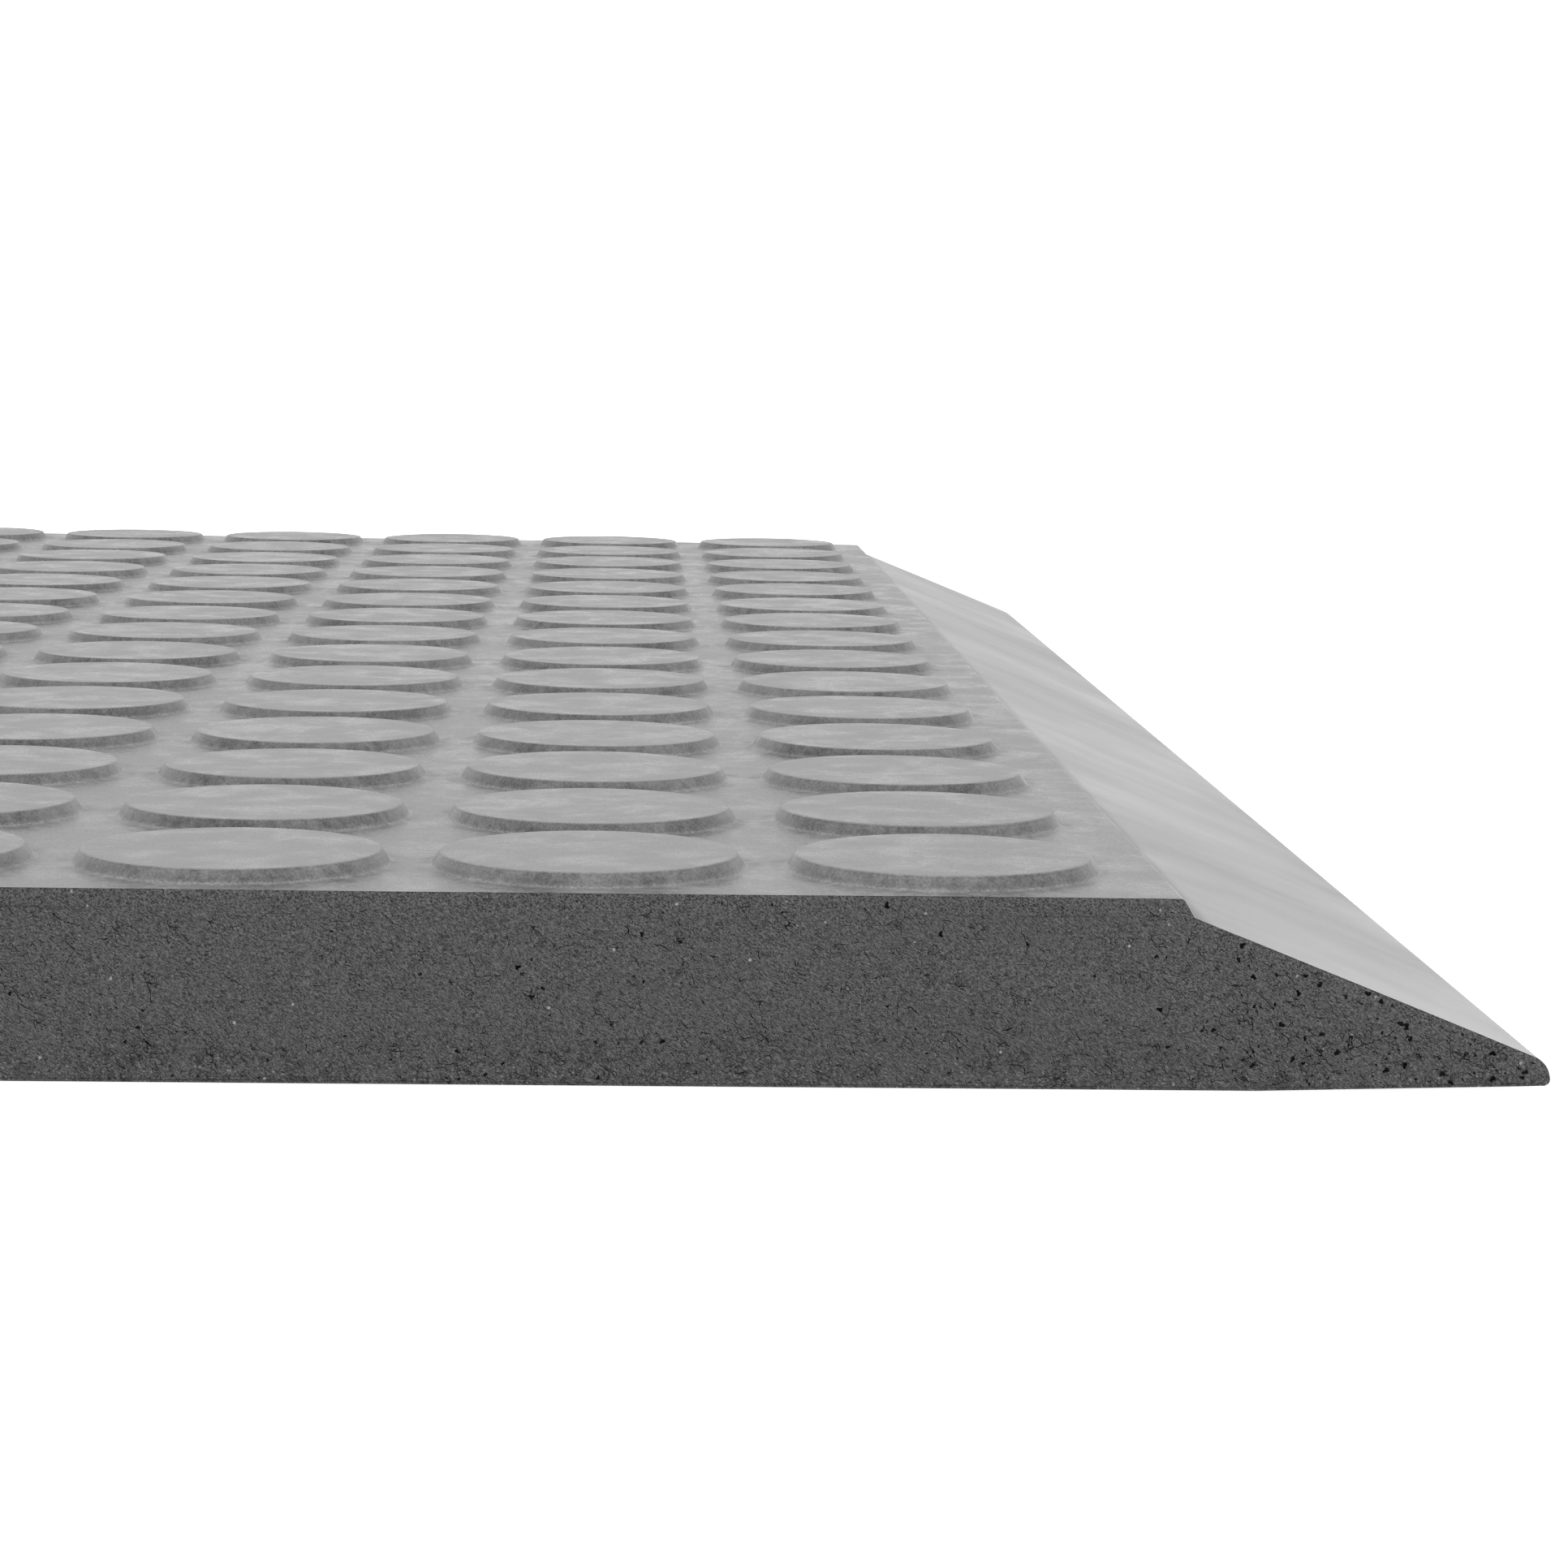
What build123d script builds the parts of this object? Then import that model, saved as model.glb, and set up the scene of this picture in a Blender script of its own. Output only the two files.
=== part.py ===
from build123d import *
import os
from math import asin, atan2, cos, floor, hypot, sin

# Anti-fatigue floor mat, cut to length from a roll. A closed-cell foam core carries a tread sheet
# with raised discs, a dense skin over the ramp along each rolled edge, and a thin skin underneath.
# Millimetres, +Z up. The origin is on the floor under the middle of the mat. The ramps run along
# the -X and +X edges, and the plain cut ends face -Y and +Y.

# Driving dimensions
overall_width = 600.0  # along X, from the nose of one ramp to the nose of the other
overall_length = 372.0  # along Y, between the two cut ends
body_height = 13.0  # from the floor to the flat between the discs
ramp_width = 25.2  # from the edge of the flat top out to the nose

tread_thickness = 1.25  # tread sheet without its discs
tread_edge_run = 0.75  # how far the sloped edge of the tread sheet stands out at its foot
tread_edge_radius = 0.4  # rounding along the top of that edge
ramp_skin = 0.6  # dense skin over each ramp
base_skin_thickness = 0.4
nose_radius = 1.7
toe_lift = 0.5  # gap between the floor and the underside of the nose
toe_run = 20.0  # length of underside that rises to that gap

disc_diameter = 20.8  # at the top of a disc
disc_height = 1.0
disc_wall_run = 0.6  # how far the sloped wall of a disc stands out at its foot
disc_gap = 2.73  # between the feet of two neighbouring discs
edge_land = 1.0  # narrowest flat strip left between a disc and the edge of the sheet

# Sizes worked out from them
nose_x = overall_width / 2
flat_x = nose_x - ramp_width
step_x = flat_x + tread_edge_run
step_z = body_height - tread_thickness
disc_foot_radius = disc_diameter / 2 + disc_wall_run
disc_pitch = 2 * disc_foot_radius + disc_gap
disc_margin = disc_foot_radius + edge_land
disc_columns = 1 + floor((2 * flat_x - 2 * disc_margin) / disc_pitch)
disc_rows = 1 + floor((overall_length - 2 * disc_margin) / disc_pitch)

# The ramp is the line from the foot of the tread sheet's edge that just touches the nose's arc.
# The toe under the nose is as round as the base skin is thick, and the nose's arc starts on it.
nose_centre_x = nose_x - nose_radius
nose_centre_z = toe_lift + base_skin_thickness
nose_reach = hypot(nose_centre_x - step_x, step_z - nose_centre_z)
ramp_fall = atan2(step_z - nose_centre_z, nose_centre_x - step_x) - asin(nose_radius / nose_reach)
core_nose_radius = nose_radius - ramp_skin
core_ramp_top_x = step_x - ramp_skin / sin(ramp_fall)

# The underside is flat out to heel_x and then rises to the toe. The base skin stops at seam_x,
# against the inner face of the ramp skin.
heel_x = nose_x - toe_run
toe_x = nose_x - base_skin_thickness
seam_x = nose_x - ramp_skin
seam_z = toe_lift * (seam_x - heel_x) / (toe_x - heel_x)


def nose_point(radius):
    """Where an arc of this radius about the nose's centre leaves the ramp."""
    return (nose_centre_x + radius * sin(ramp_fall), nose_centre_z + radius * cos(ramp_fall))


# Foam core: the whole body under the tread sheet and inside the skins.
with BuildPart() as foam_core:
    with BuildSketch(Plane.XZ):
        with BuildLine() as core_outline:
            core_ramp = Polyline((0, step_z), (core_ramp_top_x, step_z), nose_point(core_nose_radius))
            core_nose = TangentArc(core_ramp @ 1, (seam_x, nose_centre_z), tangent=core_ramp % 1)
            Polyline(
                core_nose @ 1,
                (seam_x, seam_z + base_skin_thickness),
                (heel_x, base_skin_thickness),
                (0, base_skin_thickness),
            )
            mirror(core_outline.line, about=Plane.YZ)
        make_face()
    extrude(amount=overall_length / 2, both=True)
foam_core.part.label = "foam_core"

# Tread sheet: a flat sheet with sloped long edges and a square grid of raised discs on it.
with BuildPart() as tread_sheet:
    with BuildSketch(Plane.XZ):
        Polygon(
            (-step_x, step_z),
            (step_x, step_z),
            (flat_x, body_height),
            (-flat_x, body_height),
            align=None,
        )
    extrude(amount=overall_length / 2, both=True)
    top_edges = tread_sheet.faces().sort_by(Axis.Z)[-1].edges().filter_by(Axis.Y)
    fillet(top_edges, radius=tread_edge_radius)
    with Locations((0, 0, body_height)):
        with GridLocations(disc_pitch, disc_pitch, disc_columns, disc_rows):
            Cone(
                disc_foot_radius,
                disc_diameter / 2,
                disc_height,
                align=(Align.CENTER, Align.CENTER, Align.MIN),
            )
tread_sheet.part.label = "tread_sheet"

# Right ramp skin: down the ramp from under the tread sheet's edge and round the nose to the toe.
with BuildPart() as right_ramp_skin:
    with BuildSketch(Plane.XZ):
        with BuildLine():
            ramp = Line((step_x, step_z), nose_point(nose_radius))
            nose = TangentArc(ramp @ 1, (nose_x, nose_centre_z), tangent=ramp % 1)
            toe = RadiusArc(nose @ 1, (toe_x, toe_lift), base_skin_thickness)
            Polyline(toe @ 1, (seam_x, seam_z), (seam_x, nose_centre_z))
            inner_nose = TangentArc(
                (seam_x, nose_centre_z), nose_point(core_nose_radius), tangent=(0, 1)
            )
            Polyline(inner_nose @ 1, (core_ramp_top_x, step_z), (step_x, step_z))
        make_face()
    extrude(amount=overall_length / 2, both=True)
right_ramp_skin.part.label = "right_ramp_skin"

# Left ramp skin: the mirror image of the right one.
with BuildPart() as left_ramp_skin:
    mirror(right_ramp_skin.part, about=Plane.YZ)
left_ramp_skin.part.label = "left_ramp_skin"

# Base skin: the thin sheet the mat stands on, from one ramp skin to the other.
with BuildPart() as base_skin:
    with BuildSketch(Plane.XZ):
        with BuildLine() as base_outline:
            Polyline(
                (0, 0),
                (heel_x, 0),
                (seam_x, seam_z),
                (seam_x, seam_z + base_skin_thickness),
                (heel_x, base_skin_thickness),
                (0, base_skin_thickness),
            )
            mirror(base_outline.line, about=Plane.YZ)
        make_face()
    extrude(amount=overall_length / 2, both=True)
base_skin.part.label = "base_skin"

os.makedirs("parts", exist_ok=True)
export_step(foam_core.part, "parts/foam_core.step")
export_step(tread_sheet.part, "parts/tread_sheet.step")
export_step(right_ramp_skin.part, "parts/right_ramp_skin.step")
export_step(left_ramp_skin.part, "parts/left_ramp_skin.step")
export_step(base_skin.part, "parts/base_skin.step")
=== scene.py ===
from math import asin, atan2, cos, hypot, pi, radians, sin, tan

import bmesh
import bpy
import numpy as np
from mathutils import Matrix, Vector
from mathutils.geometry import delaunay_2d_cdt


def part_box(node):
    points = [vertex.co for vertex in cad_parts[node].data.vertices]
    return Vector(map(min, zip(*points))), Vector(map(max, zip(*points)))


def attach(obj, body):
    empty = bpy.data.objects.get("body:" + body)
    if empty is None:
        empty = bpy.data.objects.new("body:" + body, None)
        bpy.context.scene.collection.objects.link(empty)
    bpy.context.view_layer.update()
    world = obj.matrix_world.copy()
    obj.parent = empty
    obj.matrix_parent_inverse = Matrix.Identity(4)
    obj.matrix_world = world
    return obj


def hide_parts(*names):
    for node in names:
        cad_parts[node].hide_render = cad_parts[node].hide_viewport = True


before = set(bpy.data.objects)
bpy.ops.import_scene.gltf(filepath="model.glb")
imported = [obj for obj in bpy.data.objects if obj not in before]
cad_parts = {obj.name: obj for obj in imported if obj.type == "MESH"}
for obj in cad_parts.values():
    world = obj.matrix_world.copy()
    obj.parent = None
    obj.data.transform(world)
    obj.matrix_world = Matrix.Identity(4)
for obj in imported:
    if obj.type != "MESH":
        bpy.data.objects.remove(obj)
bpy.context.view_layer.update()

# A foam-rubber floor mat with raised discs, a ramp along each rolled edge and two plain cut ends.
# Every piece is drawn on the mat's section: x across the roll and z up, both in millimetres.
# y runs along the roll, from one cut end to the other.

MM = 0.001

# ---- Sizes, in millimetres -------------------------------------------------------------------


def box_in_mm(node):
    """Lowest and highest corner of a CAD node, in millimetres."""
    return [np.array(corner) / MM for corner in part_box(node)]


core_low, core_high = box_in_mm("foam_core")
tread_high = box_in_mm("tread_sheet")[1]
skin_low, skin_high = box_in_mm("right_ramp_skin")

DISC_RADIUS = 10.4  # at the rim
DISC_HEIGHT = 1.0
DISC_PITCH = 24.73
DISC_COLUMNS = 22
DISC_ROWS = 15
TREAD_EDGE_RUN = 0.75
TREAD_EDGE_RADIUS = 0.4
RAMP_SKIN = 0.6
NOSE_RADIUS = 1.7
TOE_LIFT = 0.5
TOE_RUN = 20.0  # length of underside that rises to the toe

end_y = tread_high[1]
nose_x = skin_high[0]
step_x = tread_high[0]
step_z = core_high[2]
ramp_head_x = skin_low[0]
seam_x = core_high[0]
seam_z = skin_low[2]
base_thickness = core_low[2]
body_top = tread_high[2] - DISC_HEIGHT
flat_x = step_x - TREAD_EDGE_RUN
heel_x = nose_x - TOE_RUN
toe_x = nose_x - base_thickness
nose_centre = np.array((nose_x - NOSE_RADIUS, TOE_LIFT + base_thickness))
nose_drop = step_z - nose_centre[1]
nose_run = nose_centre[0] - step_x
ramp_fall = atan2(nose_drop, nose_run) - asin(NOSE_RADIUS / hypot(nose_run, nose_drop))
ramp_normal = np.array((sin(ramp_fall), cos(ramp_fall)))
edge_fall = atan2(body_top - step_z, TREAD_EDGE_RUN)
field_x, field_y = DISC_COLUMNS * DISC_PITCH / 2, DISC_ROWS * DISC_PITCH / 2  # half the field of discs

# ---- The section's lines, right half, as rows of (x, z) ---------------------------------------


def arc(centre, radius, first, last, steps):
    """Points on an arc in the section, with angles measured up from the +X direction."""
    turn = np.linspace(first, last, steps + 1)
    return np.column_stack((centre[0] + radius * np.cos(turn), centre[1] + radius * np.sin(turn)))


def tread_edge_line():
    """From the flat top over the rounded rim and down the sloped edge of the tread sheet."""
    rounding = TREAD_EDGE_RADIUS * tan(edge_fall / 2)
    centre = (flat_x - rounding, body_top - TREAD_EDGE_RADIUS)
    rim = arc(centre, TREAD_EDGE_RADIUS, pi / 2, pi / 2 - edge_fall, 4)
    return np.vstack((rim, [(step_x, step_z)]))


NOSE_STEPS = 10
NOSE_END = NOSE_STEPS + 1  # the last point of the nose's arc in the skin's outer line


def skin_outer_line():
    """From the head of the ramp down it, round the nose and under the toe."""
    nose = arc(nose_centre, NOSE_RADIUS, pi / 2 - ramp_fall, 0, NOSE_STEPS)
    toe = arc((toe_x, nose_centre[1]), base_thickness, 0, -pi / 2, 5)
    return np.vstack(([(step_x, step_z)], nose, toe[1:], [(seam_x, seam_z)]))


def skin_inner_line():
    """The face where the ramp skin meets the foam and the end of the base skin."""
    nose = arc(nose_centre, NOSE_RADIUS - RAMP_SKIN, pi / 2 - ramp_fall, 0, 8)
    return np.vstack(([(ramp_head_x, step_z)], nose, [(seam_x, seam_z)]))


def base_line(lift):
    """The underside, raised by lift: flat to the heel, then rising to the seam."""
    return np.array(((0, lift), (heel_x, lift), (seam_x, seam_z + lift)))


def divided(line, longest):
    """The same line with points added so that no stretch is longer than this."""
    points = [line[0]]
    for start, end in zip(line[:-1], line[1:]):
        count = max(1, int(np.ceil(np.hypot(*(end - start)) / longest)))
        points += [start + (end - start) * k / count for k in range(1, count + 1)]
    return np.array(points)


def mirrored(line):
    """The same line on the left half, in the opposite order."""
    return (line * (-1, 1))[::-1]


tread_edge = tread_edge_line()
skin_outer = skin_outer_line()
skin_inner = skin_inner_line()
top_line = np.array(((0, body_top), tread_edge[0]))
tread_foot = np.array(((0, step_z), (step_x, step_z)))
upper_line = np.vstack((top_line, tread_edge, skin_outer[1 : NOSE_END + 1]))
lower_line = np.vstack((base_line(0), skin_outer[-2 : NOSE_END - 1 : -1]))

# ---- Waves and dents --------------------------------------------------------------------------

RIPPLE_GRID = 97  # the noise repeats after this many hills


def ripple(x, y, size, seed):
    """Smooth noise between -1 and 1, with hills about this size across."""
    lattice = np.random.default_rng(seed).uniform(-1, 1, (RIPPLE_GRID, RIPPLE_GRID))
    column, row = np.floor(x / size).astype(int), np.floor(y / size).astype(int)
    across, along = x / size - column, y / size - row
    across, along = across**2 * (3 - 2 * across), along**2 * (3 - 2 * along)

    def height(i, j):
        return lattice[(column + i) % RIPPLE_GRID, (row + j) % RIPPLE_GRID]

    low = height(0, 0) + (height(1, 0) - height(0, 0)) * across
    high = height(0, 1) + (height(1, 1) - height(0, 1)) * across
    return low + (high - low) * along


def smooth(value, low, high):
    """0 below low, 1 above high and an S-curve between them."""
    share = np.clip((value - low) / (high - low), 0, 1)
    return share**2 * (3 - 2 * share)


TREAD_WAVE = 0.06
RAMP_WAVE = 0.05


def swell(points):
    """The moulded surfaces' slow waves, as a shift of every point in and near them."""
    x, y, z = points.T
    side = np.sign(x)
    on_tread = np.clip((z - step_z) / (body_top - step_z), 0, 1) * (np.abs(x) <= step_x)
    rise = TREAD_WAVE * (0.6 * ripple(x, y, size=38, seed=1) + 0.4 * ripple(x, y, size=13, seed=2))
    from_head = (np.abs(x) - step_x) * ramp_normal[0] + (z - step_z) * ramp_normal[1]
    on_ramp = np.clip(1 + from_head / RAMP_SKIN, 0, 1) * (z < step_z)
    on_ramp *= smooth(np.abs(x), step_x + 1, step_x + 5) * (1 - smooth(np.abs(x), nose_x - 5, nose_x - 2))
    hills = 0.7 * ripple(x + 500, y, size=30, seed=3) + 0.3 * ripple(x, y, size=9, seed=4)
    bulge = RAMP_WAVE * hills * on_ramp
    shift = (side * ramp_normal[0] * bulge, np.zeros_like(x), ramp_normal[1] * bulge + rise * on_tread)
    return points + np.column_stack(shift)


# ---- Pores and cracks in the cut foam ----------------------------------------------------------

PORES_EACH_MM2 = 0.75
PORE_RADIUS = 0.055
WEDGE_PORE_EXTRA = 0.03  # how much wider a pore is in the wedge
LARGEST_PORE = 0.2
PORE_LOBES = (0.28, 0.24)  # how far a pore's rim departs from round, twofold and threefold
RING_SHARES = (1.0, 0.74, 0.42)  # a pore's rings of points, as shares of its rim
CRACKS_EACH_MM2 = 2.2
CRACK_STEP = 0.12
CRACK_HEADING = radians(-34)
CRACK_SPREAD = 0.34  # how far the headings vary, in radians
LONGEST_CRACK = 2.6
MIDDLE_ROOM = 0.3  # how far the middle of a pore or crack keeps from the section's outline
FLAW_ROOM = 0.06  # how far every point of it keeps
FILL_ROOM = 0.25  # how far the loose points between them keep
LONG_CRACK_WIDTH = 0.07
FORK_WIDTH = 0.05
# The longest cracks: distance past the edge of the flat, height, heading in degrees, length.
LONG_CRACKS = ((9.8, 2.5, 22, 6.6), (17.8, 3.2, -26, 3.8), (-35.5, 9.6, -14, 1.6), (2.0, 4.3, -34, 1.8))
SHOWN_FROM_X = 180.0  # the fine stretch of the front end starts here
SPARSE = 0.14  # share of the pores and cracks that the rest of the cut ends has


class Pore:
    """A burst cell in the cut face: an uneven pit."""

    def __init__(self, rng, x, z, radius):
        self.x, self.z, self.radius = x, z, radius
        self.depth = radius * rng.uniform(0.9, 1.5)
        self.phase = rng.uniform(0, 2 * pi, 2)
        self.reach = radius * (1 + sum(PORE_LOBES))

    def rim(self, turn):
        """The rim's distance from the middle, in each direction."""
        lobes = PORE_LOBES[0] * np.sin(2 * turn + self.phase[0])
        return self.radius * (1 + lobes + PORE_LOBES[1] * np.sin(3 * turn + self.phase[1]))

    def points(self):
        """Rings of points for the mesh, and the middle."""
        turn = np.linspace(0, 2 * pi, 9 + int(20 * self.radius), endpoint=False)
        rim = self.rim(turn)
        across, up = rim * np.cos(turn), rim * np.sin(turn)
        rings = [(self.x + share * across, self.z + share * up) for share in RING_SHARES]
        return np.hstack((*rings, [[self.x], [self.z]])).T

    def dig(self, x, z):
        """How deep the pit is at each point."""
        across, up = x - self.x, z - self.z
        share = np.hypot(across, up) / self.rim(np.arctan2(up, across))
        return self.depth * (1 - smooth(share, 0.55, 1.0))


class Crack:
    """A hair crack in the cut face: a V-shaped groove along a wandering line."""

    def __init__(self, rng, x, z, heading, length, width):
        count = max(3, int(length / CRACK_STEP))
        turns = rng.normal(0, 0.3, count)
        turns += 0.16 * np.sin(np.linspace(0, 2 * pi, count) + rng.uniform(0, 2 * pi))
        steps = CRACK_STEP * np.column_stack((np.cos(heading + turns), np.sin(heading + turns)))
        self.line = np.vstack(([0, 0], np.cumsum(steps, axis=0))) + (x, z)
        taper = np.sin(np.linspace(0, pi, count + 1)) ** 0.6
        self.width = 0.5 * width * taper * rng.uniform(0.55, 1.3, count + 1)
        self.depth = rng.uniform(0.12, 0.26)
        self.x, self.z = self.line.mean(axis=0)
        self.reach = np.hypot(*(self.line - (self.x, self.z)).T).max() + width

    def points(self):
        """The groove's bottom and its two edges."""
        run = np.gradient(self.line, axis=0)
        across = np.column_stack((-run[:, 1], run[:, 0])) / np.hypot(*run.T)[:, None]
        edge = across * self.width[:, None]
        return np.vstack((self.line, (self.line + edge)[1:-1], (self.line - edge)[1:-1]))

    def dig(self, x, z):
        """How deep the groove is at each point."""
        here = np.column_stack((x, z))
        depth = np.zeros(len(here))
        for k, (start, end) in enumerate(zip(self.line[:-1], self.line[1:])):
            run = end - start
            along = np.clip((here - start) @ run / (run @ run), 0, 1)
            away = np.hypot(*(here - start - along[:, None] * run).T)
            width = self.width[k] + along * (self.width[k + 1] - self.width[k]) + 1e-4
            full = np.minimum(1, width / 0.03) * self.depth
            depth = np.maximum(depth, full * (1 - np.clip(away / width, 0, 1)))
        return depth


def room(x, z):
    """How far a point is from the section's outline, negative outside it."""
    across = np.abs(x)
    high, low = np.interp(across, *upper_line.T), np.interp(across, *lower_line.T)
    return np.minimum(np.minimum(high - z, z - low), nose_x - across)


def in_wedge(x):
    """0 under the flat top, and rising to 1 in the wedge under the ramp."""
    return smooth(np.abs(x), flat_x - 6, flat_x + 8)


def crowding(x, z):
    """How much more crowded the pores and cracks are in the wedge, low down and in patches."""
    patches = smooth(ripple(x, z, size=9, seed=11), -0.5, 0.7)
    return (0.5 + 1.1 * in_wedge(x) + 0.45 * (z < 3.5)) * (0.5 + 0.9 * patches)


def scattered(rng, low_x, high_x, each_mm2):
    """Random points on the section between two x, this many to the square millimetre."""
    count = int((high_x - low_x) * body_top * each_mm2)
    x, z = rng.uniform(low_x, high_x, count), rng.uniform(0, body_top, count)
    kept = (room(x, z) > MIDDLE_ROOM) & (rng.uniform(0, 2, count) < crowding(x, z))
    return np.column_stack((x[kept], z[kept]))


def flaws(rng, low_x, high_x, share):
    """The pores and cracks of one stretch of a cut face. share thins them out."""
    found = []
    for x, z in scattered(rng, low_x, high_x, PORES_EACH_MM2 * share):
        radius = (PORE_RADIUS + WEDGE_PORE_EXTRA * in_wedge(x)) * np.exp(rng.normal(0.1, 0.5))
        found.append(Pore(rng, x, z, min(LARGEST_PORE, radius)))
    for x, z in scattered(rng, low_x, high_x, CRACKS_EACH_MM2 * share):
        heading = CRACK_HEADING + rng.normal(0, CRACK_SPREAD)
        length = min(LONGEST_CRACK, 0.3 + 0.45 * rng.exponential(1.0))
        found.append(Crack(rng, x, z, heading, length, rng.uniform(0.03, 0.07)))
        for _ in range(rng.integers(0, 3)):
            fork = found[-1].line[rng.integers(1, len(found[-1].line))]
            turn = heading + rng.choice((-1, 1)) * rng.uniform(0.5, 1.3)
            found.append(Crack(rng, *fork, turn, rng.uniform(0.3, 0.8) * length, FORK_WIDTH))
    for run, z, heading, length in LONG_CRACKS:
        if low_x < flat_x + run < high_x:
            found.append(Crack(rng, flat_x + run, z, radians(heading), length, LONG_CRACK_WIDTH))
    return [flaw for flaw in found if room(*flaw.points().T).min() > FLAW_ROOM]


def dug(points, found):
    """How deep the cut face is hollowed at each (x, z) point."""
    order = np.argsort(points[:, 0])
    x, z = points[order].T
    depth = np.zeros(len(points))
    for flaw in found:
        near = slice(*np.searchsorted(x, (flaw.x - flaw.reach, flaw.x + flaw.reach)))
        depth[near] = np.maximum(depth[near], flaw.dig(x[near], z[near]))
    unsorted = np.empty_like(depth)
    unsorted[order] = depth
    return unsorted


# ---- The two cut ends ---------------------------------------------------------------------------

KNIFE_WAVE = 0.04
DIMPLE_DEPTH = 0.012


class CutEnd:
    """A cut face of the whole section, in triangles that are shared out among the pieces."""

    def __init__(self, side, seed, stretches):
        rng = np.random.default_rng(seed)
        found = []
        fill = []
        for low_x, high_x, share, spacing in stretches:
            found += flaws(rng, low_x, high_x, share)
            columns = np.arange(low_x, high_x, spacing)
            rows = np.arange(0, body_top, spacing)
            spots = np.stack(np.meshgrid(columns, rows), axis=-1).reshape(-1, 2)
            spots += rng.uniform(-0.3, 0.3, spots.shape) * spacing
            fill.append(spots[room(*spots.T) > FILL_ROOM])
        fill += [flaw.points() for flaw in found]
        self.side = side
        self.flat, triangles = self.triangulated(np.vstack(fill))
        self.hollow = dug(self.flat, found)
        middle = self.flat[triangles].mean(axis=1)
        layer = layers(*middle.T)
        self.share = {name: triangles[layer == name] for name in np.unique(layer)}
        users = np.concatenate([np.unique(share) for share in self.share.values()])
        on_seam = np.bincount(users, minlength=len(self.flat)) > 1
        self.hollow[on_seam | (room(*self.flat.T) < 0.02)] = 0

    def triangulated(self, fill):
        """Triangles over the section that keep to its outline and to the pieces' seams."""
        lines = []
        for line, longest in (
            (top_line, 0.5),
            (tread_edge, 0.4),
            (tread_foot, 0.3),
            (skin_outer, 0.4),
            (skin_inner, 0.3),
            (base_line(0), 0.5),
            (base_line(base_thickness), 0.3),
            (np.array(((seam_x, seam_z), (seam_x, nose_centre[1]))), 0.5),
        ):
            fine = divided(line, longest)
            lines += [fine, mirrored(fine)]
        spots, known, edges = [], {}, set()
        for line in lines:
            chain = []
            for x, z in line:
                key = (round(float(x), 3), round(float(z), 3))
                if key not in known:
                    known[key] = len(spots)
                    spots.append((float(x), float(z)))
                chain.append(known[key])
            edges |= {tuple(sorted(pair)) for pair in zip(chain[:-1], chain[1:]) if pair[0] != pair[1]}
        spots = [Vector(spot) for spot in spots] + [Vector(spot) for spot in fill.tolist()]
        found = delaunay_2d_cdt(spots, sorted(edges), [], 1, 1e-4, False)
        flat, triangles = np.array([tuple(v) for v in found[0]]), np.array(found[2])
        return flat, triangles[room(*flat[triangles].mean(axis=1).T) > 0]

    def points(self):
        """The face's points in space, pushed in by the pores, the cracks and the knife's waves."""
        x, z = self.flat.T
        wave = KNIFE_WAVE * (1 + ripple(x, 6 * z, size=24, seed=21 + self.side))
        dimples = DIMPLE_DEPTH * (1 + ripple(x, z, size=1.4, seed=31))
        y = self.side * (end_y - (wave + dimples) - self.hollow)
        return np.column_stack((x, y, z))


def layers(x, z):
    """The name of the piece that each point of the section belongs to."""
    across = np.abs(x)
    upward = skin_inner[::-1]
    inner_x = np.interp(z, upward[:, 1], upward[:, 0])
    base_z = np.interp(across, *base_line(base_thickness).T)
    skin = np.where(x > 0, "right_ramp_skin", "left_ramp_skin")
    body = np.where(z < base_z, "base_skin", "foam_core")
    return np.where(z > step_z, "tread_sheet", np.where(across > inner_x, skin, body))


def outline(triangles):
    """The loop of points round a patch of triangles, in order."""
    sides = np.vstack((triangles[:, :2], triangles[:, 1:], triangles[:, ::2][:, ::-1]))
    shared = {tuple(side) for side in sides.tolist()}
    after = {a: b for a, b in shared if (b, a) not in shared}
    loop = [min(after)]
    while after[loop[-1]] != loop[0]:
        loop.append(after[loop[-1]])
    return loop


# ---- Building a piece ----------------------------------------------------------------------------

MOULDED, CUT = 0, 1
CREASE = radians(32)  # faces that meet at more than this show an edge


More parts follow.
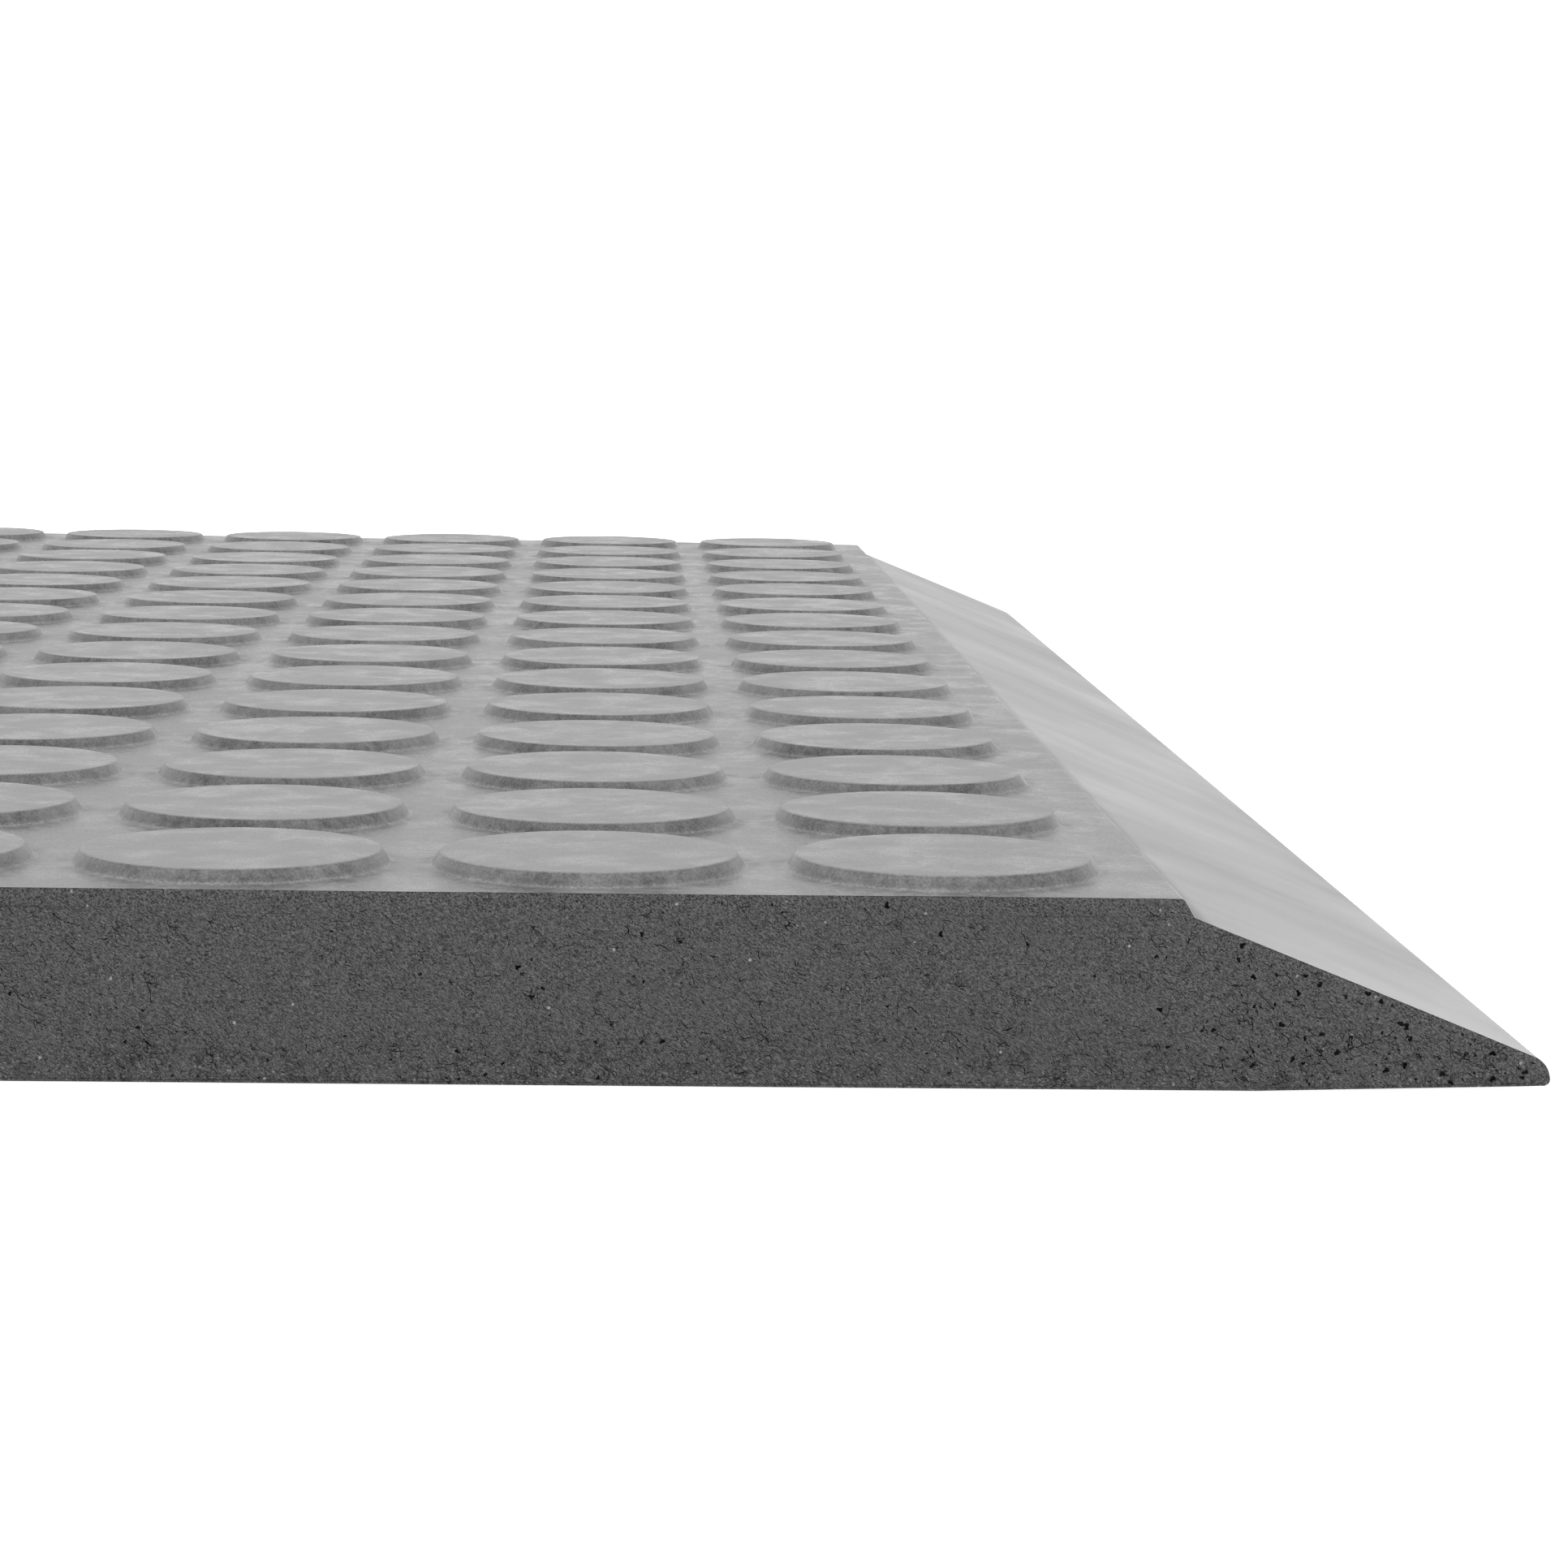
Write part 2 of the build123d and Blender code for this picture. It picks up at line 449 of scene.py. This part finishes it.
class Piece:
    """The points and faces of one piece of the mat, in millimetres, before it becomes a mesh."""

    def __init__(self, name):
        self.name = name
        self.blocks = []
        self.count = 0
        self.faces = []
        self.finishes = []
        self.hollows = []

    def add(self, points, hollow=None):
        """Adds points and returns their numbers."""
        self.blocks.append(np.asarray(points, float).reshape(-1, 3))
        self.hollows.append(np.zeros(len(self.blocks[-1])) if hollow is None else hollow)
        self.count += len(self.blocks[-1])
        return np.arange(self.count - len(self.blocks[-1]), self.count)

    def face(self, faces, finish=MOULDED):
        """Adds faces, given as lists of point numbers."""
        faces = [list(map(int, face)) for face in faces]
        self.faces += faces
        self.finishes += [finish] * len(faces)

    def strip(self, one, other, closed=False):
        """Four-sided faces between two rows with the same number of points."""
        if closed:
            one, other = np.append(one, one[0]), np.append(other, other[0])
        self.face(zip(one[:-1], one[1:], other[1:], other[:-1]))

    def lace(self, one, other, one_at, other_at):
        """Triangles between two rows with different numbers of points. Each is at a place from 0 to 1."""
        i = j = 0
        while i < len(one) - 1 or j < len(other) - 1:
            if j == len(other) - 1 or (i < len(one) - 1 and one_at[i + 1] <= other_at[j + 1]):
                self.face([(one[i], one[i + 1], other[j])])
                i += 1
            else:
                self.face([(one[i], other[j + 1], other[j])])
                j += 1

    def lace_loops(self, one, other, anchors):
        """Triangles between two loops round the same outline. Anchors are corners that both have."""
        spots = np.vstack(self.blocks)[:, [0, 2]]
        rows = []
        for loop in (np.asarray(one), np.asarray(other)):
            cuts = [int(np.hypot(*(spots[loop] - anchor).T).argmin()) for anchor in anchors]
            arcs = []
            for first, last in zip(cuts, cuts[1:] + cuts[:1]):
                last += len(loop) if last <= first else 0
                arcs.append(loop[np.arange(first, last + 1) % len(loop)])
            rows.append(arcs)
        for one_arc, other_arc in zip(*rows):
            places = []
            for chain in (one_arc, other_arc):
                run = np.append(0, np.cumsum(np.hypot(*np.diff(spots[chain], axis=0).T)))
                places.append(run / run[-1])
            self.lace(one_arc, other_arc, *places)

    def cut_face(self, end):
        """This piece's share of a cut end. Returns the loop of points round it."""
        triangles = end.share[self.name]
        used, renumbered = np.unique(triangles, return_inverse=True)
        numbers = self.add(end.points()[used], end.hollow[used])
        triangles = numbers[renumbered.reshape(-1, 3)]
        self.face(triangles, CUT)
        return outline(triangles)

    def mesh(self, finishes):
        """The finished Blender object, in metres and in its place."""
        points = swell(np.vstack(self.blocks)) * MM
        mesh = bpy.data.meshes.new(self.name)
        mesh.from_pydata(points.tolist(), [], self.faces)
        for finish in finishes:
            mesh.materials.append(finish)
        mesh.polygons.foreach_set("material_index", self.finishes)
        hollow = mesh.attributes.new("hollow", "FLOAT", "POINT")
        hollow.data.foreach_set("value", np.concatenate(self.hollows))
        shell = bmesh.new()
        shell.from_mesh(mesh)
        bmesh.ops.recalc_face_normals(shell, faces=shell.faces)
        shell.to_mesh(mesh)
        shell.free()
        mesh.shade_smooth()
        mesh.set_sharp_from_angle(angle=CREASE)
        made = bpy.data.objects.new(self.name + "_rubber", mesh)
        bpy.context.scene.collection.objects.link(made)
        return made


def swept(name, loop, anchors, stations, ends, finishes):
    """A piece with one section from end to end: a loop of (x, z) points carried along y."""
    piece = Piece(name)
    cuts = [piece.cut_face(end) for end in ends]
    rings = [piece.add(np.column_stack((loop[:, 0], np.full(len(loop), y), loop[:, 1]))) for y in stations]
    piece.lace_loops(cuts[0], rings[0], anchors)
    for one, other in zip(rings[:-1], rings[1:]):
        piece.strip(one, other, closed=True)
    piece.lace_loops(cuts[1], rings[-1], anchors)
    return piece.mesh(finishes)


def stations(longest):
    """Places along y between the cut ends, this far apart at most."""
    last = end_y - 0.4
    return np.linspace(-last, last, int(np.ceil(2 * last / longest)) + 1)


def foam_core_piece(ends, finishes):
    """The foam body between the skins."""
    low = base_line(base_thickness)
    right = np.vstack((low[1:], skin_inner[-2::-1]))
    loop = np.vstack((right, mirrored(right)))
    anchors = [low[2], skin_inner[0], skin_inner[0] * (-1, 1), low[2] * (-1, 1)]
    return swept("foam_core", loop, anchors, stations(longest=400), ends, finishes)


def ramp_skin_piece(name, side, ends, finishes):
    """The dense skin over one ramp and round its nose."""
    outer = np.vstack((divided(skin_outer[:2], 2.0), skin_outer[2:]))
    loop = np.vstack((outer[::-1], skin_inner[:-1]))
    anchors = np.array((skin_outer[-1], skin_outer[0], skin_inner[0]))
    if side < 0:
        loop, anchors = mirrored(loop), mirrored(anchors)
    return swept(name, loop, anchors, stations(longest=4), ends, finishes)


def base_skin_piece(ends, finishes):
    """The thin skin that the mat stands on."""
    low, high = base_line(0), base_line(base_thickness)
    right = np.vstack((low[1:], high[:0:-1]))
    loop = np.vstack((right, mirrored(right)))
    anchors = [low[2], high[2], high[2] * (-1, 1), low[2] * (-1, 1)]
    return swept("base_skin", loop, anchors, stations(longest=12), ends, finishes)


# ---- The tread sheet with its discs ---------------------------------------------------------------

# From the middle of a disc out to the flat: (radius past the rim's radius, share of the height).
NEAR_PROFILE = (
    (-0.50, 1.0),
    (-0.16, 0.995),
    (-0.06, 0.97),
    (0.02, 0.89),
    (0.36, 0.36),
    (0.50, 0.15),
    (0.72, 0.03),
    (1.05, 0.0),
)
FAR_PROFILE = ((-0.40, 1.0), (-0.02, 0.93), (0.42, 0.22), (0.95, 0.0))
NEAR_SEGMENTS, FAR_SEGMENTS = 48, 32  # points round a disc
CELL_STEPS = 8  # points along each side of a disc's square
NEAR_COLUMNS = 6  # columns on the right that have the finer discs


class TreadSheet(Piece):
    """The wear sheet: squares that each hold a disc, and a plain border down to its sloped edges."""

    def __init__(self):
        super().__init__("tread_sheet")
        self.corners = {}
        self.rng = np.random.default_rng(5)

    def square_point(self, x, y):
        """The number of a point on the flat, shared by the squares that meet there."""
        key = (round(x, 3), round(y, 3))
        if key not in self.corners:
            self.corners[key] = int(self.add([(x, y, body_top)])[0])
        return self.corners[key]

    def square(self, x, y):
        """The loop of points round one disc's square, anticlockwise from its +X side."""
        half = DISC_PITCH / 2
        steps = np.arange(CELL_STEPS) * DISC_PITCH / CELL_STEPS - half
        sides = [(half, s) for s in steps] + [(-s, half) for s in steps]
        sides += [(-half, -s) for s in steps] + [(s, -half) for s in steps]
        sides = sides[CELL_STEPS // 2 :] + sides[: CELL_STEPS // 2]
        return [self.square_point(x + across, y + along) for across, along in sides], sides

    def disc(self, x, y, profile, segments):
        """One raised disc in its square."""
        turn = np.linspace(0, 2 * pi, segments, endpoint=False)
        lift = DISC_HEIGHT * (1 + self.rng.uniform(-0.02, 0.02))
        tilt = self.rng.uniform(-0.0015, 0.0015, 2)
        rings = []
        for past, share in ((-0.55 * DISC_RADIUS, 1.0), *profile):
            radius = DISC_RADIUS + past
            across, along = radius * np.cos(turn), radius * np.sin(turn)
            z = body_top + share * (lift + across * tilt[0] + along * tilt[1])
            rings.append(self.add(np.column_stack((x + across, y + along, z))))
        middle = self.add([(x, y, body_top + lift)])[0]
        self.face([(middle, a, b) for a, b in zip(rings[0], np.roll(rings[0], -1))])
        for one, other in zip(rings[:-1], rings[1:]):
            self.strip(one, other, closed=True)
        loop, sides = self.square(x, y)
        angles = [atan2(along, across) % (2 * pi) / (2 * pi) for across, along in sides]
        foot = np.append(rings[-1], rings[-1][0])
        self.lace(foot, loop + loop[:1], np.append(turn / (2 * pi), 1), angles + [1])


def tread_sheet_piece(ends, finishes):
    """The whole tread sheet."""
    piece = TreadSheet()
    cuts = [piece.cut_face(end) for end in ends]
    columns = (np.arange(DISC_COLUMNS) - (DISC_COLUMNS - 1) / 2) * DISC_PITCH
    rows = (np.arange(DISC_ROWS) - (DISC_ROWS - 1) / 2) * DISC_PITCH
    for number, x in enumerate(columns):
        near = number >= DISC_COLUMNS - NEAR_COLUMNS
        for y in rows:
            piece.disc(x, y, *((NEAR_PROFILE, NEAR_SEGMENTS) if near else (FAR_PROFILE, FAR_SEGMENTS)))
    lines_x = np.linspace(-field_x, field_x, DISC_COLUMNS * CELL_STEPS + 1)
    lines_y = np.linspace(-field_y, field_y, DISC_ROWS * CELL_STEPS + 1)
    border = np.vstack((((field_x + tread_edge[0, 0]) / 2, body_top), tread_edge))
    rings = []
    for y in lines_y:
        right = piece.add([(x, y, z) for x, z in border])
        left = piece.add([(-x, y, z) for x, z in border])
        inner = [piece.square_point(field_x, y)], [piece.square_point(-field_x, y)]
        rings.append(np.concatenate((inner[0], right, left[::-1], inner[1])))
    for one, other in zip(rings[:-1], rings[1:]):
        piece.strip(one, other)
    anchors = [(-step_x, step_z), (step_x, step_z)]
    for cut, ring, y in ((cuts[0], rings[0], lines_y[0]), (cuts[1], rings[-1], lines_y[-1])):
        across = [piece.square_point(x, y) for x in lines_x]
        piece.lace_loops(cut, np.concatenate((ring[::-1], across[-2:0:-1])), anchors)
    return piece.mesh(finishes)


# ---- Finishes ----------------------------------------------------------------------------------


class Shade:
    """A value in a finish's nodes. A sum written with it adds Math nodes to that finish."""

    def __init__(self, finish, socket):
        self.finish, self.socket = finish, socket

    def __add__(self, other):
        return self.finish.math("ADD", self, other)

    def __sub__(self, other):
        return self.finish.math("SUBTRACT", self, other)

    def __mul__(self, other):
        return self.finish.math("MULTIPLY", self, other)

    def __rsub__(self, other):
        return self.finish.math("SUBTRACT", other, self)

    def __abs__(self):
        return self.finish.math("ABSOLUTE", self)

    __radd__ = __add__
    __rmul__ = __mul__


class Finish:
    """One material, drawn with nodes. Places are in millimetres in the mat's own frame."""

    def __init__(self, name, **constant):
        self.material = bpy.data.materials.new(name)
        self.material.use_nodes = True
        self.tree = self.material.node_tree
        self.tree.nodes.clear()
        self.shader = self.tree.nodes.new("ShaderNodeBsdfPrincipled")
        output = self.tree.nodes.new("ShaderNodeOutputMaterial")
        self.tree.links.new(self.shader.outputs[0], output.inputs["Surface"])
        for socket, value in constant.items():
            self.shader.inputs[socket.replace("_", " ")].default_value = value
        spot = self.node("ShaderNodeTexCoord", output="Object")
        self.place = self.vector("SCALE", spot, Scale=1 / MM)

    def node(self, kind, settings=(), inputs=(), output=0):
        """Adds a node: its settings first, then the values or links of its sockets."""
        node = self.tree.nodes.new(kind)
        for name, value in dict(settings).items():
            setattr(node, name, value)
        for name, value in dict(inputs).items():
            self.feed(node.inputs[name], value)
        return Shade(self, node.outputs[output])

    def feed(self, socket, value):
        """Links a value to a socket, or sets the number or colour there."""
        if isinstance(value, Shade):
            self.tree.links.new(value.socket, socket)
        else:
            socket.default_value = value

    def surface(self, **inputs):
        """Feeds the shader's own sockets."""
        for name, value in inputs.items():
            self.feed(self.shader.inputs[name.replace("_", " ")], value)

    def math(self, operation, *values):
        return self.node("ShaderNodeMath", {"operation": operation}, enumerate(values))

    def vector(self, operation, *values, **named):
        inputs = [*enumerate(values), *named.items()]
        return self.node("ShaderNodeVectorMath", {"operation": operation}, inputs)

    def axis(self, vector, name):
        return self.node("ShaderNodeSeparateXYZ", inputs={0: vector}, output=name)

    def across(self):
        """How far a point is from the mat's middle, to either side."""
        return abs(self.axis(self.place, "X"))

    def turned(self, place, fall, stretch):
        """A place for a pattern that lies at this fall from x, drawn out along it and across it."""
        lie = {"Rotation": (0, fall, 0), "Scale": (stretch[0], 1, stretch[1])}
        return self.node("ShaderNodeMapping", {"vector_type": "TEXTURE"}, {"Vector": place, **lie})

    def noise(self, place, each_mm, detail=2.0, roughness=0.5, output="Fac"):
        """Cloudy noise with about this many hills to the millimetre."""
        inputs = {"Vector": place, "Scale": each_mm, "Detail": detail, "Roughness": roughness}
        return self.node("ShaderNodeTexNoise", inputs=inputs, output=output)

    def cells(self, place, each_mm, feature="F1", output="Distance"):
        """Cells like those of foam, this many to the millimetre."""
        inputs = {"Vector": place, "Scale": each_mm}
        return self.node("ShaderNodeTexVoronoi", {"feature": feature}, inputs, output)

    def band(self, value, low, high):
        """0 below low, 1 above high, and an S-curve between them."""
        inputs = {"Value": value, "From Min": low, "From Max": high}
        return self.node("ShaderNodeMapRange", {"interpolation_type": "SMOOTHSTEP"}, inputs)

    def shift(self, place, each_mm, amount):
        """The place moved about by noise, up to about this far."""
        wander = self.noise(place, each_mm, output="Color")
        centred = self.vector("SUBTRACT", wander, (0.5, 0.5, 0.5))
        return self.vector("ADD", place, self.vector("SCALE", centred, Scale=2 * amount))

    def grey(self, tone):
        """A plain grey of this tone."""
        return self.node("ShaderNodeCombineColor", inputs={0: tone, 1: tone, 2: tone})

    def bump(self, height, depth):
        """A normal from a height that stands for this many millimetres."""
        return self.node("ShaderNodeBump", inputs={"Height": height, "Distance": depth * MM})


FOAM_TONE = 0.063
TREAD_TONE = 0.125
RAMP_TONE = 0.155
BASE_TONE = 0.07


def under_skin(finish):
    """How far under the moulded top or ramp a point of the cut face lies, in millimetres."""
    x, z = finish.across(), finish.axis(finish.place, "Z")
    ramp = (step_x - x) * ramp_normal[0] + (step_z - z) * ramp_normal[1]
    edge = (step_x - x) * sin(edge_fall) + (step_z - z) * cos(edge_fall)
    return finish.math("MINIMUM", body_top - z, finish.math("MAXIMUM", ramp, edge))


def foot_height(finish):
    """The height of the underside, which rises evenly from the heel to the toe."""
    return (TOE_LIFT / TOE_RUN) * finish.math("MAXIMUM", finish.across() - heel_x, 0)


def cut_foam():
    """Closed-cell foam where the knife went through.

    Its tone is a slanted grain, then pale flecks and sparks and a painted highlight beside the hair cracks,
    then what darkens it: short dashes, dots in the rind, hair cracks, torn patches low down, painted shade
    in the pits and grooves of the mesh, and the line of the base skin.
    """
    finish = Finish("cut_foam", Specular_IOR_Level=0.2)
    spot = finish.place
    bent = finish.shift(spot, 1.3, 0.22)
    slant = finish.turned(bent, -CRACK_HEADING, (2.6, 0.66))
    z, depth = finish.axis(spot, "Z"), under_skin(finish)
    rind = 1 - finish.band(depth, 0.7, 1.8)
    low = 1 - finish.band(z, 0.5, 2.6)
    grain = finish.band(finish.noise(spot, 13.0, 1.0, 0.6), 0.3, 0.7)
    hatch = finish.band(finish.noise(slant, 9.0, 1.0, 0.6), 0.3, 0.7)
    clouds = finish.noise(spot, 0.22, 3.0)
    patch = finish.band(finish.noise(spot, 0.42, 2.0), 0.44, 0.62)
    tone = 1 + 0.85 * (grain - 0.5) + 0.9 * (hatch - 0.5) + 0.15 * (clouds - 0.5) + 0.14 * (low + rind)
    broken = finish.band(finish.noise(spot, 1.7, 2.0), 0.46, 0.53)
    hair = 1 - finish.band(finish.cells(bent, 1.9, "DISTANCE_TO_EDGE"), 0.01, 0.07)
    hair = hair * broken * (0.12 + 0.7 * patch)
    # The hair cracks' pattern shifted a little, for a painted highlight along one side of each crack.
    beside = finish.vector("ADD", bent, (0.05, 0.0, 0.08))
    crack_highlight = 1 - finish.band(finish.cells(beside, 1.9, "DISTANCE_TO_EDGE"), 0.01, 0.09)
    crack_highlight = crack_highlight * broken * (0.1 + 0.9 * patch)
    dash = 1 - finish.band(finish.cells(slant, 4.6), 0.12, 0.26)
    dot = 1 - finish.band(finish.cells(spot, 4.8), 0.3, 0.39)
    shred = finish.turned(bent, -CRACK_HEADING, (1.7, 0.8))
    fleck = 1 - finish.band(finish.cells(shred, 4.4), 0.14, 0.36)
    chance = finish.axis(finish.cells(shred, 4.4, output="Color"), "Y")
    fleck = fleck * finish.band(chance + 0.5 * low * clouds, 0.92, 0.98)
    spark = 1 - finish.band(finish.cells(spot, 0.5), 0.03, 0.07)
    torn = 1 - finish.band(z + 6 * (clouds - 0.5), 1.6, 2.8)
    tear = 1 - finish.band(finish.cells(bent, 2.7, "DISTANCE_TO_EDGE"), 0.02, 0.14)
    tear = tear * finish.band(finish.noise(spot, 1.1, 2.0), 0.42, 0.58) * torn
    hollow = finish.node("ShaderNodeAttribute", {"attribute_name": "hollow"}, output="Fac")
    # Painted shade in the pores and grooves hollowed into the mesh, darkest where they are deepest.
    pit = finish.band(hollow, 0.01, 0.08)
    lift = z - foot_height(finish)
    line = 1 - finish.band(abs(lift - 0.2 + 0.08 * (hatch - 0.5)), 0.02, 0.07)
    edge = 1 - finish.band(depth, 0.03, 0.1)
    # Pale flecks, the painted highlight beside the cracks and sparks lighten the tone; dashes darken it.
    tone = (tone + (0.8 + 0.7 * low) * fleck + 0.4 * crack_highlight + 3 * spark) * (1 - (0.38 + 0.5 * patch) * dash)
    # Darkened by dots in the rind, hair cracks, torn patches and the painted shade in the pits.
    tone = tone * (1 - 0.55 * dot * rind) * (1 - 0.85 * hair) * (1 - 0.5 * tear) * (1 - 0.85 * pit)
    tone = tone * (1 - 0.4 * line) * (1 - 0.15 * edge)
    finish.surface(
        Base_Color=finish.grey(FOAM_TONE * finish.math("MAXIMUM", tone, 0.05)),
        Roughness=0.92,
        Normal=finish.bump(grain + 0.6 * hatch - 0.8 * hair - dash, 0.03),
    )
    return finish.material


def tread_rubber():
    """The moulded wear surface: satin, finely grained and mottled, with painted shade in patches round each
    disc's foot and along its rim.
    """
    finish = Finish("tread_rubber")
    drift = finish.shift(finish.place, 0.12, 3.0)
    clouds = finish.band(finish.noise(drift, 0.2, 3.0, 0.6), 0.3, 0.7)
    grain = finish.band(finish.noise(finish.place, 1.3, 3.0, 0.65), 0.3, 0.7)
    fine = finish.band(finish.noise(finish.place, 5.5, 2.0, 0.6), 0.3, 0.7)
    rise = finish.axis(finish.place, "Z") - body_top
    across = finish.math("FRACT", finish.axis(finish.place, "X") * (1 / DISC_PITCH)) - 0.5
    along = finish.math("FRACT", finish.axis(finish.place, "Y") * (1 / DISC_PITCH) + 0.5) - 0.5
    reach = DISC_PITCH * finish.math("SQRT", across * across + along * along)
    # Painted shade: a soft, patchy darkening in a ring round each disc's foot, which is also a little
    # rougher.
    painted_foot_shade = 1 - finish.band(abs(reach - (DISC_RADIUS + 0.9)), 0.1, 1.3)
    painted_foot_shade = painted_foot_shade * finish.band(finish.noise(drift, 0.33, 3.0, 0.6), 0.38, 0.68)
    painted_foot_shade = painted_foot_shade * (1 - finish.band(finish.across(), field_x - 1.5, field_x))
    foot = 1 - finish.band(abs(rise - 0.1), 0.02, 0.1)
    # Painted shade: a thin darker line along each disc's rim, where the top turns down into the wall.
    rim = 1 - finish.band(abs(rise - 0.9 * DISC_HEIGHT), 0.01, 0.07)
    tone = 1 + 0.6 * (clouds - 0.5) + 0.5 * (fine - 0.5) + 0.5 * (grain - 0.5)
    tone = tone * (1 + 0.35 * foot * fine) * (1 - 0.15 * rim) * (1 - 0.2 * painted_foot_shade)
    finish.surface(
        Base_Color=finish.grey(TREAD_TONE * tone),
        Roughness=0.36 + 0.24 * (clouds - 0.5) + 0.13 * (grain - 0.5) + 0.1 * painted_foot_shade,
        Normal=finish.bump(fine + 0.8 * grain, 0.01),
    )
    return finish.material


def ramp_rubber():
    """The moulded ramp: smoother, with cloudy smears and a few dark specks, and painted shade along the
    crease at its head.
    """
    finish = Finish("ramp_rubber")
    drift = finish.shift(finish.place, 0.07, 9.0)
    clouds = finish.noise(finish.turned(drift, 0.0, (1.3, 1.0)), 0.045, 3.0, 0.5)
    fine = finish.band(finish.noise(finish.place, 5.0, 2.0, 0.6), 0.3, 0.7)
    speck = 1 - finish.band(finish.cells(finish.place, 0.2), 0.008, 0.022)
    # Painted shade along the crease at the ramp's head, where it meets the tread sheet's sloped edge.
    head = 1 - finish.band(finish.across() - step_x, 0.1, 1.6)
    tone = (1 + 0.9 * (clouds - 0.5) + 0.2 * (fine - 0.5)) * (1 - 0.3 * head)
    finish.surface(
        Base_Color=finish.grey(RAMP_TONE * tone * (1 - 0.85 * speck)),
        Roughness=0.34 - 0.16 * (clouds - 0.5) + 0.08 * head,
        Normal=finish.bump(fine, 0.008),
    )
    return finish.material


def base_rubber():
    """The underside: matt, with a fine non-slip grain."""
    finish = Finish("base_rubber")
    grain = finish.noise(finish.place, 1.6, 4.0, 0.7)
    clouds = finish.noise(finish.place, 0.06, 3.0)
    finish.surface(
        Base_Color=finish.grey(BASE_TONE * (1 + 0.3 * (grain - 0.5) + 0.3 * (clouds - 0.5))),
        Roughness=0.75,
        Normal=finish.bump(grain, 0.03),
    )
    return finish.material


# ---- The mat -----------------------------------------------------------------------------------

ends = [
    CutEnd(-1, 101, ((-nose_x, SHOWN_FROM_X, SPARSE, 2.0), (SHOWN_FROM_X, nose_x, 1.0, 0.8))),
    CutEnd(1, 202, ((-nose_x, nose_x, SPARSE, 2.0),)),
]
foam, tread, ramp, base = cut_foam(), tread_rubber(), ramp_rubber(), base_rubber()
pieces = {
    "foam_core": (foam_core_piece(ends, (foam, foam)), "closed_cell_foam"),
    "tread_sheet": (tread_sheet_piece(ends, (tread, foam)), "tread_surface"),
    "right_ramp_skin": (ramp_skin_piece("right_ramp_skin", 1, ends, (ramp, foam)), "ramp_surface"),
    "left_ramp_skin": (ramp_skin_piece("left_ramp_skin", -1, ends, (ramp, foam)), "ramp_surface"),
    "base_skin": (base_skin_piece(ends, (base, foam)), "underside"),
}
for node, (piece, finish_slot) in pieces.items():
    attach(piece, "root")
    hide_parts(node)

# ---- Floor, light and camera: floor and light in metres -----------------------------------------

FLOOR_HALF = 6.0
FLOOR_DROP = 0.0001  # keeps the floor just clear of the underside
FLOOR_GLOW = 0.9  # a light table, so that the mat throws no shadow on it


def floor():
    """A plain white floor, softly lit from below."""
    mesh = bpy.data.meshes.new("floor")
    half = FLOOR_HALF
    corners = [(x, y, -FLOOR_DROP) for x, y in ((-half, -half), (half, -half), (half, half), (-half, half))]
    mesh.from_pydata(corners, [], [(0, 1, 2, 3)])
    white = (0.95, 0.95, 0.95, 1)
    glow = {"Emission_Color": white, "Emission_Strength": FLOOR_GLOW}
    finish = Finish("floor_paint", Roughness=1.0, Specular_IOR_Level=0.0, Base_Color=white, **glow)
    mesh.materials.append(finish.material)
    made = bpy.data.objects.new("floor", mesh)
    bpy.context.scene.collection.objects.link(made)


def daylight(strength):
    """The white studio all round."""
    world = bpy.data.worlds.new("white_studio")
    world.use_nodes = True
    world.node_tree.nodes["Background"].inputs["Color"].default_value = (1, 1, 1, 1)
    world.node_tree.nodes["Background"].inputs["Strength"].default_value = strength
    bpy.context.scene.world = world


def softbox(name, at, aim, size, power):
    """A large soft light that faces a point."""
    light = bpy.data.lights.new(name, "AREA")
    light.shape = "SQUARE"
    light.size = size
    light.energy = power
    made = bpy.data.objects.new(name, light)
    made.location = at
    made.rotation_euler = (Vector(aim) - Vector(at)).to_track_quat("-Z", "Y").to_euler()
    bpy.context.scene.collection.objects.link(made)


# Where the camera stands, in millimetres from the ramp's head on the front cut end, and how it is
# turned, tipped down and tilted, in radians.
CAMERA_STAND = (-37.7, -257.4, 52.6)
CAMERA_TURN = -0.042
CAMERA_DIP = 0.1241
CAMERA_TILT = -0.0165
CAMERA_LENS = 89.9


def camera():
    """The camera, a short way in front of the cut end and just above the mat."""
    lens = bpy.data.cameras.new("camera")
    lens.lens = CAMERA_LENS
    lens.sensor_width = 36
    lens.clip_start = 0.01
    made = bpy.data.objects.new("camera", lens)
    turned = Matrix.Rotation(CAMERA_TURN, 4, "Z") @ Matrix.Rotation(-CAMERA_DIP, 4, "X")
    turned = turned @ Matrix.Rotation(CAMERA_TILT, 4, "Y") @ Matrix.Rotation(pi / 2, 4, "X")
    at = Vector((flat_x, -end_y, 0)) + Vector(CAMERA_STAND)
    made.matrix_world = Matrix.Translation(at * MM) @ turned
    bpy.context.scene.collection.objects.link(made)
    bpy.context.scene.camera = made


floor()
daylight(strength=1.1)
softbox("overhead", at=(0.2, 0.3, 1.6), aim=(0.1, 0, 0), size=1.6, power=10)
camera()
bpy.context.scene.view_settings.view_transform = "Standard"
